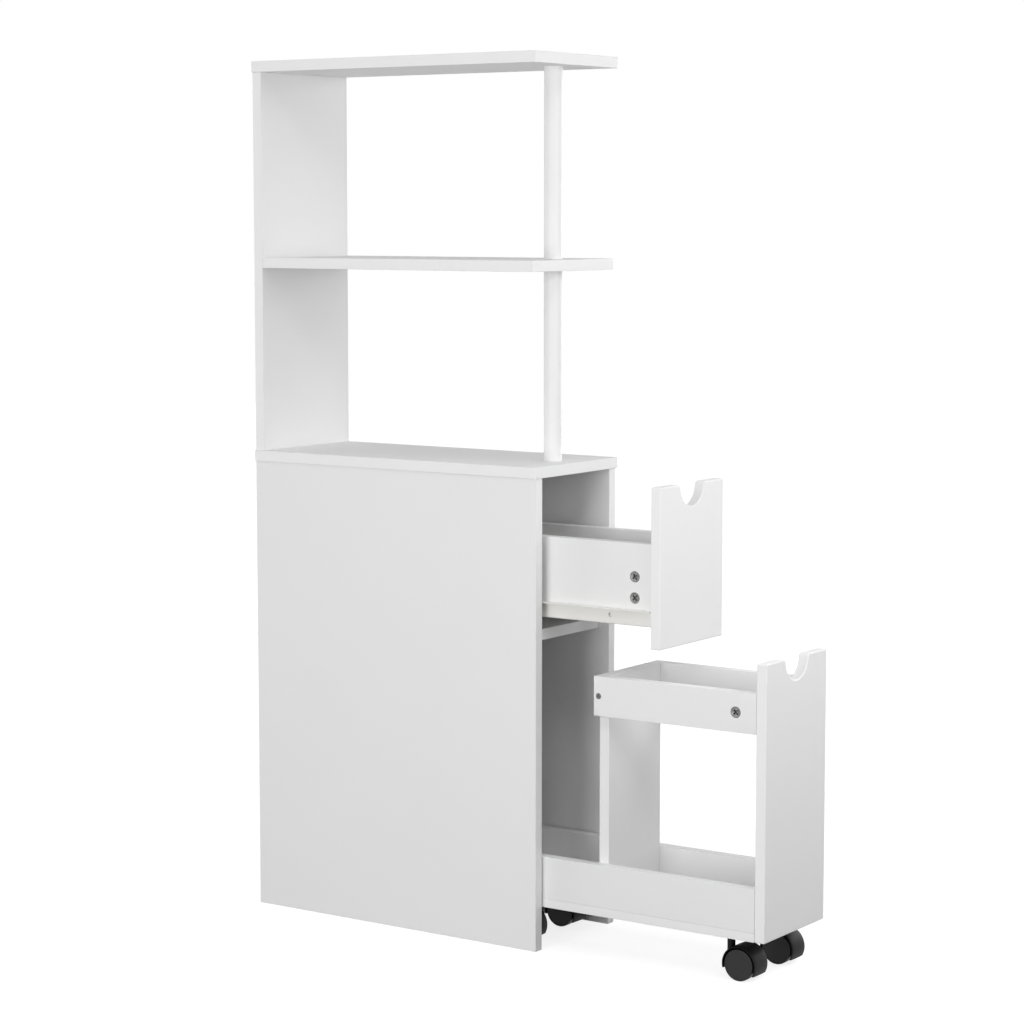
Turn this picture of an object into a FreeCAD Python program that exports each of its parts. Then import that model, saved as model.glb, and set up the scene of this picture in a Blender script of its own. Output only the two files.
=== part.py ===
import FreeCAD, Part
import math
import os

# A narrow bathroom cabinet of white-faced board. An open rack of two shelves stands on a base. The base takes
# a drawer on roller runners and, under it, a cart that rolls out on four twin-wheel casters.
# Lengths are millimetres. X runs across the cabinet, the front faces -Y and Z is up. The origin is on the
# floor, halfway between the face of the pulled-out cart and the rear of the cabinet.

# Cabinet boards
board = 15.0
overall_height = 1200.0
carcass_width = 195.0
carcass_depth = 480.0
base_height = 640.0
top_side_overhang = 2.5
counter_front_overhang = 2.0
middle_shelf_setback = 5.0
stretcher_depth = 70.0
stretcher_lap = 3.0
front_stop_gap = 2.0

# Thin panels that slide into grooves
thin_panel = 3.0
groove_depth = 5.0
groove_play = 0.1
back_groove_inset = 10.0
back_panel_lift = 20.0

# Tubular posts of the rack and the rod that ties them down
post_diameter = 25.0
post_wall = 1.5
post_setback = 38.5
tie_rod_diameter = 8.0
tie_rod_grip = 10.0

# How far the drawer and the cart stand out at rest, and the gaps round their fronts
drawer_pull_out = 182.5
cart_pull_out = 341.5
front_side_gap = 2.5
front_top_gap = 3.0
front_middle_gap = 3.5
notch_radius = 30.0
notch_corner_radius = 5.0

# Drawer
drawer_front_height = 212.5
drawer_side_length = 400.0
drawer_side_height = 108.0
drawer_lift = 20.0
drawer_bottom_lift = 10.0
runner_space = 12.5
drawer_lock_heights = (36.0, 64.0)
drawer_back_dowel_inset = 22.0

# Runners of bent sheet, and their rollers
runner_sheet = 1.0
drawer_runner_height = 21.5
drawer_runner_reach = 10.0
drawer_runner_lip = 12.0
drawer_runner_gap = 2.0
cabinet_runner_depth = 10.0
cabinet_runner_length = 400.0
cabinet_runner_setback = 18.0
flange_play = 1.0
roller_diameter = 16.0
roller_width = 6.0
roller_inset = 12.0
roller_play = 0.25
roller_pin_diameter = 5.0
roller_side_gap = 0.3
runner_hole_diameter = 6.5
runner_hole_inset = 65.0

# Cart
cart_length = 455.0
cart_clearance = 58.5
cart_bottom_thickness = 12.0
lower_rail_height = 57.5
upper_rail_height = 53.0
upper_rail_drop = 39.0
cart_front_bay = 231.0
rail_dowel_inset = 90.0
divider_dowel_spread = 40.0

# Casters
caster_half_track = 50.0
caster_front_inset = 50.5
caster_rear_inset = 45.0
caster_trail = 20.0
wheel_diameter = 42.0
wheel_width = 11.0
wheel_edge = 1.2
wheel_bore_depth = 8.0
wheel_side_gap = 0.5
axle_diameter = 5.0
axle_end_gap = 0.3
axle_drop = 7.5
hood_web = 11.0
hood_gap = 2.5
hood_wall = 2.0
hood_rear_angle = -15.0
hood_front_angle = 211.0
neck_top_height = 56.5
neck_diameter = 10.6
stem_diameter = 7.5
stem_socket_depth = 22.0
stem_grip = 10.0

# Cam locks, bolts, dowels and screws. They repeat, so they are drawn with flats to keep the model light
fastener_sides = 8
screw_head_sides = 12
lock_sides = 16
lock_diameter = 15.0
lock_floor = 3.0
lock_setback = 30.0
lock_slot_width = 1.8
lock_slot_length = 9.5
lock_slot_depth = 2.0
bolt_diameter = 6.0
bolt_grip = 10.0
bolt_play = 0.6
bolt_tip_gap = 1.5
dowel_diameter = 8.0
dowel_grip = 9.0
dowel_reach = 20.0
counter_dowel_inset = 60.0
stretcher_dowel_inset = 18.0
rack_lock_spread = 60.0
screw_diameter = 5.0
screw_head_diameter = 8.5
screw_head = 3.0
screw_length = 42.0

# Clearances: a fixed piece in its hole, a turning pin in its bore, and how far cutters run past a face
fixed_fit = 0.05
running_fit = 0.06
overrun = 1.0

# Places that follow from the sizes above
SIDES = {"left": -1, "right": 1}
outer_half = carcass_width / 2
inner_half = outer_half - board
top_half = outer_half + top_side_overhang
front_y = (cart_pull_out - carcass_depth) / 2
rear_y = front_y + carcass_depth
rack_face_y = rear_y - board
counter_top_z = base_height + board
top_shelf_z = overall_height - board
middle_shelf_z = (counter_top_z + top_shelf_z - board) / 2
post_y = front_y + post_setback

front_half = inner_half - front_side_gap
drawer_front_top_z = base_height - front_top_gap
drawer_front_z = drawer_front_top_z - drawer_front_height
cart_front_top_z = drawer_front_z - front_middle_gap
cart_face_y = front_y - cart_pull_out
cart_inner_y = cart_face_y + board
cart_rear_y = cart_face_y + cart_length
cart_floor_z = cart_clearance + cart_bottom_thickness
cart_bay_half = front_half - board
lower_rail_top_z = cart_floor_z + lower_rail_height
upper_rail_top_z = cart_front_top_z - upper_rail_drop
divider_y = cart_inner_y + cart_front_bay
divider_rear_y = divider_y + board

stretcher_y = front_y + board + front_stop_gap
stretcher_z = cart_front_top_z - stretcher_lap
stretcher_top_z = stretcher_z + board

drawer_face_y = front_y - drawer_pull_out
drawer_inner_y = drawer_face_y + board
drawer_rear_y = drawer_inner_y + drawer_side_length
drawer_half = inner_half - runner_space
drawer_bay_half = drawer_half - board
drawer_side_z = stretcher_top_z + drawer_lift
drawer_side_top_z = drawer_side_z + drawer_side_height
drawer_bottom_z = drawer_side_z + drawer_bottom_lift
drawer_bottom_top_z = drawer_bottom_z + thin_panel

drawer_runner_y = drawer_inner_y + drawer_runner_gap
drawer_runner_z = drawer_side_z - runner_sheet
drawer_runner_top_z = drawer_runner_z + drawer_runner_height
drawer_runner_face = drawer_half + runner_sheet
cabinet_runner_y = front_y + cabinet_runner_setback
cabinet_runner_face = inner_half - runner_sheet
roller_radius = roller_diameter / 2
roller_z = drawer_runner_top_z - runner_sheet - roller_play - roller_radius
track_z = roller_z - roller_radius - roller_play

wheel_radius = wheel_diameter / 2
well_radius = wheel_radius + hood_gap
hood_radius = well_radius + hood_wall
hood_half_web = hood_web / 2
wheel_inner_x = hood_half_web + wheel_side_gap
caster_half_width = wheel_inner_x + wheel_width

nodes = {}
cutters = {}


def vec(x, y, z):
    return FreeCAD.Vector(x, y, z)


def add(node, *solids):
    """Puts finished solids into a named piece of the cabinet."""
    nodes.setdefault(node, []).extend(solids)


def drill(node, *tools):
    """Notes what is to be cut out of a named piece."""
    cutters.setdefault(node, []).extend(tools)


def block(x0, x1, y0, y1, z0, z1):
    """A rectangular board between two corners, whichever way round the X values are given."""
    low, high = sorted((x0, x1))
    return Part.makeBox(high - low, y1 - y0, z1 - z0, vec(low, y0, z0))


def rod(radius, start, end):
    """A round bar from one point to another."""
    along = end.sub(start)
    return Part.makeCylinder(radius, along.Length, start, along)


def prism(radius, start, end, sides):
    """A bar with flats from one point to another, its corners on the given radius."""
    along = end.sub(start)
    turns = [2 * math.pi * k / sides for k in range(sides)]
    corners = [vec(radius * math.cos(t), radius * math.sin(t), 0) for t in turns]
    bar = Part.Face(Part.makePolygon(corners + corners[:1])).extrude(vec(0, 0, along.Length))
    bar.Placement = FreeCAD.Placement(start, FreeCAD.Rotation(vec(0, 0, 1), along))
    return bar


def joined(first, *others):
    """One solid from pieces that touch or overlap."""
    return first.fuse(list(others)).removeSplitter()


def bent_sheet(points, y0, y1):
    """A folded sheet: an outline in X and Z drawn out along Y."""
    corners = [vec(x, y0, z) for x, z in points]
    outline = Part.makePolygon(corners + corners[:1])
    return Part.Face(outline).extrude(vec(0, y1 - y0, 0))


def notched_front(y0, z0, z1):
    """A front panel whose top edge has a round finger notch with eased corners."""
    centre = vec(0, y0, z1)
    reach = notch_radius + notch_corner_radius
    corner_x = math.sqrt(reach ** 2 - notch_corner_radius ** 2)
    up = vec(0, 0, 1)

    def eased_corner(side):
        middle = vec(side * corner_x, y0, z1 - notch_corner_radius)
        inward = centre.sub(middle).normalize()
        between = up.add(inward).normalize()
        on_edge = middle.add(up * notch_corner_radius)
        on_notch = middle.add(inward * notch_corner_radius)
        halfway = middle.add(between * notch_corner_radius)
        return on_edge, halfway, on_notch

    left_edge, left_half, left_notch = eased_corner(SIDES["left"])
    right_edge, right_half, right_notch = eased_corner(SIDES["right"])
    low_left = vec(-front_half, y0, z0)
    low_right = vec(front_half, y0, z0)
    top_right = vec(front_half, y0, z1)
    top_left = vec(-front_half, y0, z1)
    edges = [
        Part.LineSegment(low_left, low_right).toShape(),
        Part.LineSegment(low_right, top_right).toShape(),
        Part.LineSegment(top_right, right_edge).toShape(),
        Part.Arc(right_edge, right_half, right_notch).toShape(),
        Part.Arc(right_notch, vec(0, y0, z1 - notch_radius), left_notch).toShape(),
        Part.Arc(left_notch, left_half, left_edge).toShape(),
        Part.LineSegment(left_edge, top_left).toShape(),
        Part.LineSegment(top_left, low_left).toShape(),
    ]
    return Part.Face(Part.Wire(edges)).extrude(vec(0, board, 0))


def cam_lock():
    """A lock disc about Z, open towards -X for the bolt's end, with a cross slot for the driver."""
    mouth_z = board / 2
    foot_z = lock_floor - board / 2
    disc = prism(lock_diameter / 2, vec(0, 0, foot_z), vec(0, 0, mouth_z), lock_sides)
    way = bolt_diameter / 2 + bolt_play
    opening = block(-lock_diameter, 0, -way, way, foot_z - overrun, way)
    half_width = lock_slot_width / 2
    half_length = lock_slot_length / 2
    slot_z = mouth_z - lock_slot_depth
    slot_along = block(-half_length, half_length, -half_width, half_width, slot_z, mouth_z + overrun)
    slot_across = block(-half_width, half_width, -half_length, half_length, slot_z, mouth_z + overrun)
    return disc.cut([opening, slot_along, slot_across])


def cam_joint(body, holder, receiver, seam, into, face):
    """Draws the edge of one board against another with a cam lock and a bolt.

    seam is a point in the middle of the holder's edge, into points from it into the holder, and face points
    out of the holder on the side where the lock is pushed in.
    """
    turn = FreeCAD.Rotation(into, face.cross(into), face, "ZXY")
    place = FreeCAD.Placement(seam.add(into * lock_setback), turn)

    def placed(shape):
        shape.Placement = place.multiply(shape.Placement)
        return shape

    bolt_radius = bolt_diameter / 2
    lock_radius = lock_diameter / 2
    bolt_end = vec(-lock_setback - bolt_grip, 0, 0)
    bolt_tip = vec(-bolt_tip_gap, 0, 0)
    hole_end = vec(-lock_setback - bolt_grip - fixed_fit, 0, 0)
    past_seam = vec(overrun - lock_setback, 0, 0)
    before_seam = vec(-overrun - lock_setback, 0, 0)
    pocket_floor = vec(0, 0, lock_floor - board / 2 - fixed_fit)
    pocket_mouth = vec(0, 0, board / 2 + overrun)
    add(body + "_cam_locks", placed(cam_lock()))
    add(body + "_cam_bolts", placed(prism(bolt_radius, bolt_end, bolt_tip, fastener_sides)))
    drill(holder, placed(prism(lock_radius + fixed_fit, pocket_floor, pocket_mouth, lock_sides)))
    drill(holder, placed(prism(bolt_radius + bolt_play, before_seam, vec(0, 0, 0), fastener_sides)))
    drill(receiver, placed(prism(bolt_radius + fixed_fit, hole_end, past_seam, fastener_sides)))


def dowel_joint(body, holder, receiver, seam, into):
    """A wooden dowel across the seam between the edge of one board and the face of another."""
    radius = dowel_diameter / 2
    low = seam.sub(into * dowel_grip)
    high = seam.add(into * dowel_reach)
    add(body + "_dowels", prism(radius, low, high, fastener_sides))
    hole_low = low.sub(into * fixed_fit)
    hole_high = high.add(into * fixed_fit)
    for piece in (holder, receiver):
        drill(piece, prism(radius + fixed_fit, hole_low, hole_high, fastener_sides))


def screw_joint(body, through, receiver, head, along):
    """A screw with its head sunk flush in one board and its shank in the edge of the next."""
    radius = screw_diameter / 2
    head_radius = screw_head_diameter / 2
    neck = head.add(along * screw_head)
    tip = head.add(along * screw_length)
    cap = prism(head_radius, head, neck, screw_head_sides)
    add(body + "_screws", joined(cap, prism(radius, neck, tip, fastener_sides)))
    outside = head.sub(along * overrun)
    seat = neck.add(along * fixed_fit)
    drill(through, prism(head_radius + fixed_fit, outside, seat, screw_head_sides))
    for piece in (through, receiver):
        drill(piece, prism(radius + fixed_fit, head, tip.add(along * fixed_fit), fastener_sides))


def cabinet_boards():
    """Side panels, counter, back panel, stretcher and the boards of the rack."""
    back_y1 = rear_y - back_groove_inset
    back_y0 = back_y1 - thin_panel
    groove_y0 = back_y0 - groove_play
    groove_y1 = back_y1 + groove_play
    groove_half = inner_half + groove_depth
    panel_half = groove_half - groove_play
    for name, side in SIDES.items():
        panel = "side_panel_" + name
        add(panel, block(side * inner_half, side * outer_half, front_y, rear_y, 0, base_height))
        groove_x = side * (inner_half - overrun)
        groove_z1 = base_height + overrun
        drill(panel, block(groove_x, side * groove_half, groove_y0, groove_y1, back_panel_lift, groove_z1))
    add("base_back_panel", block(-panel_half, panel_half, back_y0, back_y1, back_panel_lift, base_height))
    counter_y = front_y - counter_front_overhang
    add("counter_top", block(-top_half, top_half, counter_y, rear_y, base_height, counter_top_z))
    stretcher_rear_y = stretcher_y + stretcher_depth
    add(
        "front_stretcher",
        block(-inner_half, inner_half, stretcher_y, stretcher_rear_y, stretcher_z, stretcher_top_z),
    )
    add("rack_back_board", block(-outer_half, outer_half, rack_face_y, rear_y, counter_top_z, top_shelf_z))
    shelf_y = front_y + middle_shelf_setback
    shelf_top_z = middle_shelf_z + board
    add("middle_shelf", block(-outer_half, outer_half, shelf_y, rack_face_y, middle_shelf_z, shelf_top_z))
    add("top_shelf", block(-top_half, top_half, front_y, rear_y, top_shelf_z, overall_height))


def cabinet_joints():
    """Cam locks, dowels and screws that hold the cabinet's boards together."""
    up = vec(0, 0, 1)
    back = vec(0, 1, 0)
    middle_y = front_y + carcass_depth / 2
    counter_dowel_ys = (front_y + counter_dowel_inset, rear_y - counter_dowel_inset)
    stretcher_rear_y = stretcher_y + stretcher_depth
    stretcher_dowel_ys = (stretcher_y + stretcher_dowel_inset, stretcher_rear_y - stretcher_dowel_inset)
    stretcher_mid_z = stretcher_z + board / 2
    rack_mid_y = rear_y - board / 2
    for name, side in SIDES.items():
        panel = "side_panel_" + name
        inward = vec(-side, 0, 0)
        panel_mid_x = side * (inner_half + board / 2)
        cam_joint("cabinet", panel, "counter_top", vec(panel_mid_x, middle_y, base_height), -up, inward)
        for y in counter_dowel_ys:
            dowel_joint("cabinet", panel, "counter_top", vec(panel_mid_x, y, base_height), -up)
        for y in stretcher_dowel_ys:
            seam = vec(side * inner_half, y, stretcher_mid_z)
            dowel_joint("cabinet", "front_stretcher", panel, seam, inward)
        x = side * rack_lock_spread
        cam_joint("cabinet", "rack_back_board", "counter_top", vec(x, rack_mid_y, counter_top_z), up, back)
        cam_joint("cabinet", "rack_back_board", "top_shelf", vec(x, rack_mid_y, top_shelf_z), -up, back)
        shelf_screw = vec(x, rear_y, middle_shelf_z + board / 2)
        screw_joint("cabinet", "rack_back_board", "middle_shelf", shelf_screw, -back)


def posts():
    """Two tubes with a shelf between them, held down by one rod from the counter to the top shelf."""
    radius = post_diameter / 2
    shelf_top_z = middle_shelf_z + board
    rod_radius = tie_rod_diameter / 2

    def point(z):
        return vec(0, post_y, z)

    for name, low, high in (
        ("lower_post", counter_top_z, middle_shelf_z),
        ("upper_post", shelf_top_z, top_shelf_z),
    ):
        add(name, rod(radius, point(low), point(high)))
        drill(name, rod(radius - post_wall, point(low - overrun), point(high + overrun)))
    rod_low = counter_top_z - tie_rod_grip
    rod_high = top_shelf_z + tie_rod_grip
    add("post_tie_rod", rod(rod_radius, point(rod_low), point(rod_high)))
    for piece in ("counter_top", "middle_shelf", "top_shelf"):
        drill(piece, rod(rod_radius + fixed_fit, point(rod_low - fixed_fit), point(rod_high + fixed_fit)))


def roller(near_x, side, y):
    """A plain runner roller about X, with a bore for its pin."""
    start = vec(side * near_x, y, roller_z)
    end = vec(side * (near_x + roller_width), y, roller_z)
    return rod(roller_radius, start, end).cut(rod(roller_pin_diameter / 2 + running_fit, start, end))


def roller_pin(face_x, side, toward, y):
    """The riveted pin that a roller turns on, standing on a runner's web."""
    tip_x = face_x + toward * (roller_side_gap + roller_width)
    root_x = face_x - toward * runner_sheet
    return rod(roller_pin_diameter / 2, vec(side * root_x, y, roller_z), vec(side * tip_x, y, roller_z))


def cabinet_runners():
    """A channel on each side panel, with a roller at its front end that carries the drawer's flange."""
    reach = inner_half - cabinet_runner_depth
    low = track_z - runner_sheet
    high_under = drawer_runner_top_z + flange_play
    high = high_under + runner_sheet
    y1 = cabinet_runner_y + cabinet_runner_length
    roller_y = cabinet_runner_y + roller_inset
    for name, side in SIDES.items():
        outline = [
            (side * inner_half, low),
            (side * reach, low),
            (side * reach, track_z),
            (side * cabinet_runner_face, track_z),
            (side * cabinet_runner_face, high_under),
            (side * reach, high_under),
            (side * reach, high),
            (side * inner_half, high),
        ]
        runner = "cabinet_runner_" + name
        pin = roller_pin(cabinet_runner_face, side, -1, roller_y)
        add(runner, joined(bent_sheet(outline, cabinet_runner_y, y1), pin))
        roller_x = cabinet_runner_face - roller_side_gap - roller_width
        add("cabinet_roller_" + name, roller(roller_x, side, roller_y))


def drawer_boards():
    """The drawer's box: notched front, two sides, a back and a thin bottom in grooves."""
    groove_z0 = drawer_bottom_z - groove_play
    groove_z1 = drawer_bottom_top_z + groove_play
    groove_half = drawer_bay_half + groove_depth
    add("drawer_front", notched_front(drawer_face_y, drawer_front_z, drawer_front_top_z))
    groove_y = drawer_inner_y - groove_depth
    groove_rear_y = drawer_rear_y + overrun
    groove = block(-groove_half, groove_half, groove_y, groove_rear_y, groove_z0, groove_z1)
    drill("drawer_front", groove)
    bottom_half = groove_half - groove_play
    bottom_y = groove_y + groove_play
    add(
        "drawer_bottom",
        block(-bottom_half, bottom_half, bottom_y, drawer_rear_y, drawer_bottom_z, drawer_bottom_top_z),
    )
    back_y = drawer_rear_y - board
    add(
        "drawer_back",
        block(-drawer_bay_half, drawer_bay_half, back_y, drawer_rear_y, drawer_bottom_top_z, drawer_side_top_z),
    )
    dowel_zs = (drawer_bottom_top_z + drawer_back_dowel_inset, drawer_side_top_z - drawer_back_dowel_inset)
    for name, side in SIDES.items():
        panel = "drawer_side_" + name
        outward = vec(side, 0, 0)
        inner_x = side * drawer_bay_half
        outer_x = side * drawer_half
        add(panel, block(inner_x, outer_x, drawer_inner_y, drawer_rear_y, drawer_side_z, drawer_side_top_z))
        drill(panel, groove.copy())
        middle_x = side * (drawer_bay_half + board / 2)
        for height in drawer_lock_heights:
            seam = vec(middle_x, drawer_inner_y, drawer_side_z + height)
            cam_joint("drawer", panel, "drawer_front", seam, vec(0, 1, 0), outward)
        for z in dowel_zs:
            dowel_joint("drawer", "drawer_back", panel, vec(inner_x, drawer_rear_y - board / 2, z), -outward)


def drawer_runners():
    """A folded strip under each drawer side, with a flange on the cabinet's roller and a roller at its rear."""
    reach = drawer_half + drawer_runner_reach
    lip = drawer_half - drawer_runner_lip
    flange_z = drawer_runner_top_z - runner_sheet
    roller_y = drawer_rear_y - roller_inset
    for name, side in SIDES.items():
        outline = [
            (side * lip, drawer_runner_z),
            (side * drawer_runner_face, drawer_runner_z),
            (side * drawer_runner_face, flange_z),
            (side * reach, flange_z),
            (side * reach, drawer_runner_top_z),
            (side * drawer_half, drawer_runner_top_z),
            (side * drawer_half, drawer_side_z),
            (side * lip, drawer_side_z),
        ]
        runner = "drawer_runner_" + name
        pin = roller_pin(drawer_runner_face, side, 1, roller_y)
        add(runner, joined(bent_sheet(outline, drawer_runner_y, drawer_rear_y), pin))
        hole_y = drawer_runner_y + runner_hole_inset
        hole_start = vec(side * (drawer_half - overrun), hole_y, roller_z)
        hole_end = vec(side * (drawer_runner_face + overrun), hole_y, roller_z)
        drill(runner, rod(runner_hole_diameter / 2, hole_start, hole_end))
        add("drawer_roller_" + name, roller(drawer_runner_face + roller_side_gap, side, roller_y))


def cart_boards():
    """The cart: notched front, bottom, lower and upper rails, divider and low back."""
    add("cart_front", notched_front(cart_face_y, cart_clearance, cart_front_top_z))
    add(
        "cart_bottom",
        block(-front_half, front_half, cart_inner_y, cart_rear_y, cart_clearance, cart_floor_z),
    )
    add(
        "cart_divider",
        block(-cart_bay_half, cart_bay_half, divider_y, divider_rear_y, cart_floor_z, upper_rail_top_z),
    )
    back_y = cart_rear_y - board
    add(
        "cart_back",
        block(-cart_bay_half, cart_bay_half, back_y, cart_rear_y, cart_floor_z, lower_rail_top_z),
    )
    upper_rail_z = upper_rail_top_z - upper_rail_height
    upper_mid_z = upper_rail_z + upper_rail_height / 2
    lower_mid_z = cart_floor_z + lower_rail_height / 2
    back = vec(0, 1, 0)
    up = vec(0, 0, 1)
    for name, side in SIDES.items():
        outward = vec(side, 0, 0)
        lower = "cart_lower_rail_" + name
        upper = "cart_upper_rail_" + name
        inner_x = side * cart_bay_half
        outer_x = side * front_half
        middle_x = side * (cart_bay_half + board / 2)
        add(lower, block(inner_x, outer_x, cart_inner_y, cart_rear_y, cart_floor_z, lower_rail_top_z))
        add(upper, block(inner_x, outer_x, cart_inner_y, divider_rear_y, upper_rail_z, upper_rail_top_z))
        cam_joint("cart", upper, "cart_front", vec(middle_x, cart_inner_y, upper_mid_z), back, outward)
        cam_joint("cart", lower, "cart_front", vec(middle_x, cart_inner_y, lower_mid_z), back, -outward)
        rail_screw = vec(outer_x, divider_y + board / 2, upper_mid_z)
        screw_joint("cart", upper, "cart_divider", rail_screw, -outward)
        for y in (cart_inner_y + rail_dowel_inset, cart_rear_y - rail_dowel_inset):
            dowel_joint("cart", lower, "cart_bottom", vec(middle_x, y, cart_floor_z), up)
        divider_foot = vec(side * divider_dowel_spread, divider_y + board / 2, cart_floor_z)
        dowel_joint("cart", "cart_divider", "cart_bottom", divider_foot, up)
        back_end = vec(inner_x, back_y + board / 2, lower_mid_z)
        dowel_joint("cart", "cart_back", lower, back_end, -outward)


def about_axle(radius, degrees):
    """A point in the plane of a wheel, turned from the rear towards the top."""
    angle = math.radians(degrees)
    return vec(0, radius * math.cos(angle), radius * math.sin(angle))


def hood():
    """The caster's hood about its axle: a band over both wheels, a web between them, and a round neck."""
    mid_angle = (hood_rear_angle + hood_front_angle) / 2
    outer = [about_axle(hood_radius, angle) for angle in (hood_rear_angle, mid_angle, hood_front_angle)]
    inner = [about_axle(well_radius, angle) for angle in (hood_rear_angle, mid_angle, hood_front_angle)]
    low = vec(0, 0, -axle_drop)
    band_edges = [
        Part.Arc(*outer).toShape(),
        Part.LineSegment(outer[-1], inner[-1]).toShape(),
        Part.Arc(*reversed(inner)).toShape(),
        Part.LineSegment(inner[0], outer[0]).toShape(),
    ]
    web_edges = [
        Part.Arc(*outer).toShape(),
        Part.LineSegment(outer[-1], low).toShape(),
        Part.LineSegment(low, outer[0]).toShape(),
    ]
    band = Part.Face(Part.Wire(band_edges)).extrude(vec(2 * caster_half_width, 0, 0))
    band.translate(vec(-caster_half_width, 0, 0))
    web = Part.Face(Part.Wire(web_edges)).extrude(vec(hood_web, 0, 0))
    web.translate(vec(-hood_half_web, 0, 0))
    neck_top = vec(0, caster_trail, neck_top_height - wheel_radius)
    neck = rod(neck_diameter / 2, vec(0, caster_trail, 0), neck_top)
    axle_start = vec(-hood_half_web - overrun, 0, 0)
    axle_end = vec(hood_half_web + overrun, 0, 0)
    axle_hole = rod(axle_diameter / 2 + fixed_fit, axle_start, axle_end)
    socket_foot = neck_top.sub(vec(0, 0, stem_socket_depth))
    socket = rod(stem_diameter / 2 + running_fit, socket_foot, neck_top.add(vec(0, 0, overrun)))
    return joined(band, web, neck).cut([axle_hole, socket])


def caster_wheel(side):
    """A wheel on one end of the axle, with a closed outer disc and an eased outer edge."""
    bore = axle_diameter / 2 + running_fit
    outline = [
        vec(0, 0, bore),
        vec(0, 0, wheel_radius),
        vec(wheel_width - wheel_edge, 0, wheel_radius),
        vec(wheel_width, 0, wheel_radius - wheel_edge),
        vec(wheel_width, 0, 0),
        vec(wheel_bore_depth, 0, 0),
        vec(wheel_bore_depth, 0, bore),
    ]
    face = Part.Face(Part.makePolygon(outline + outline[:1]))
    wheel = face.revolve(vec(0, 0, 0), vec(1, 0, 0), 360)
    if side < 0:
        wheel.rotate(vec(0, 0, 0), vec(0, 0, 1), 180)
    wheel.translate(vec(side * wheel_inner_x, 0, 0))
    return wheel


def caster_stem(x, y):
    """A stem fixed in the cart's bottom, standing on the floor of the hood's socket."""
    foot = vec(x, y, neck_top_height - stem_socket_depth)
    top = vec(x, y, cart_clearance + stem_grip)
    hole_top = vec(x, y, cart_clearance + stem_grip + fixed_fit)
    drill("cart_bottom", rod(stem_diameter / 2 + fixed_fit, foot, hole_top))
    return rod(stem_diameter / 2, foot, top)


def casters():
    """Four swivel casters under the cart, each with a stem, hood, axle and two wheels."""
    stem_ys = {"front": cart_inner_y + caster_front_inset, "rear": cart_rear_y - caster_rear_inset}
    axle_half = wheel_inner_x + wheel_bore_depth - axle_end_gap
    for end, stem_y in stem_ys.items():
        for name, side in SIDES.items():
            stem_x = side * caster_half_track
            place = vec(stem_x, stem_y - caster_trail, wheel_radius)
            label = end + "_" + name
            add("caster_stems", caster_stem(stem_x, stem_y))
            shell = hood()
            shell.translate(place)
            add("caster_hood_" + label, shell)
            axle = rod(axle_diameter / 2, vec(-axle_half, 0, 0), vec(axle_half, 0, 0))
            axle.translate(place)
            add("caster_axle_" + label, axle)
            for wheel_name, wheel_side in SIDES.items():
                wheel = caster_wheel(wheel_side)
                wheel.translate(place)
                add("caster_wheel_" + label + "_" + wheel_name, wheel)


def finished(node):
    """A piece with its holes cut, as one shape."""
    solids = nodes[node]
    if node in cutters:
        solids = [solid.cut(cutters[node]) for solid in solids]
    return solids[0] if len(solids) == 1 else Part.makeCompound(solids)


cabinet_boards()
cabinet_joints()
posts()
cabinet_runners()
drawer_boards()
drawer_runners()
cart_boards()
casters()
os.makedirs("parts", exist_ok=True)
for node in nodes:
    finished(node).exportStep("parts/" + node + ".step")
print(len(nodes), "pieces written")
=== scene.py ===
"""A narrow white bathroom cabinet with an open rack, a drawer and a cart that rolls out, in a studio."""
import math

import bmesh
import bpy
from mathutils import Matrix, Vector


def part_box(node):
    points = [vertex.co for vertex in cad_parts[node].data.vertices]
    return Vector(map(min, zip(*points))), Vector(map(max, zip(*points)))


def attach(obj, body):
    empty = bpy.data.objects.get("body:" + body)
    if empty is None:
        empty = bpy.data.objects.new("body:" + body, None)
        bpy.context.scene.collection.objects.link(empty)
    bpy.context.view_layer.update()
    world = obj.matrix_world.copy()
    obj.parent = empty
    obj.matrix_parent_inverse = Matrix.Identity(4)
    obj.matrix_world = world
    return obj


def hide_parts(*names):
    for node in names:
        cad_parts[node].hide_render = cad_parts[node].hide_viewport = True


# Lengths are metres, written in millimetres where that is how a maker would give them
MM = 0.001
SIDES = {"left": -1, "right": 1}
X, Y, Z = Vector((1, 0, 0)), Vector((0, 1, 0)), Vector((0, 0, 1))

# Edges: banded boards are barely eased, and the fronts are wrapped over a rounder edge
BOARD_EASE = 0.7 * MM
FRONT_EASE = 1.8 * MM
PANEL_EASE = 0.25 * MM
TUBE_EASE = 0.4 * MM
TUBE_WALL = 1.5 * MM
MOULDED_EASE = 0.4 * MM
RIVET_EASE = 0.3 * MM
SHARP_ANGLE = math.radians(35)
WELD = 0.001 * MM
FLUSH = 0.1 * MM

# How much of a normal has to point one way for a face to be level with it, broad to it or across it
LEVEL_SHARE = 0.99
BROAD_SHARE = 0.9
ACROSS_SHARE = 0.5

# How finely round forms are drawn
CIRCLE_STEPS = 48
EASE_STEPS = 2
TURNED_EASE_STEPS = 3
FRONT_EASE_STEPS = 4
FOLD_STEPS = 4
NOTCH_STEPS = 20
NOTCH_CORNER_STEPS = 8
POST_STEPS = 96
ROLLER_STEPS = 56
RIVET_STEPS = 32
BAND_STEPS = 48
WEB_STEPS = 40
NECK_STEPS = 40
WHEEL_STEPS = 72
SHOULDER_STEPS = 4

# Finger notch in the top edge of each front
NOTCH_RADIUS = 30 * MM
NOTCH_CORNER = 5 * MM

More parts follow.
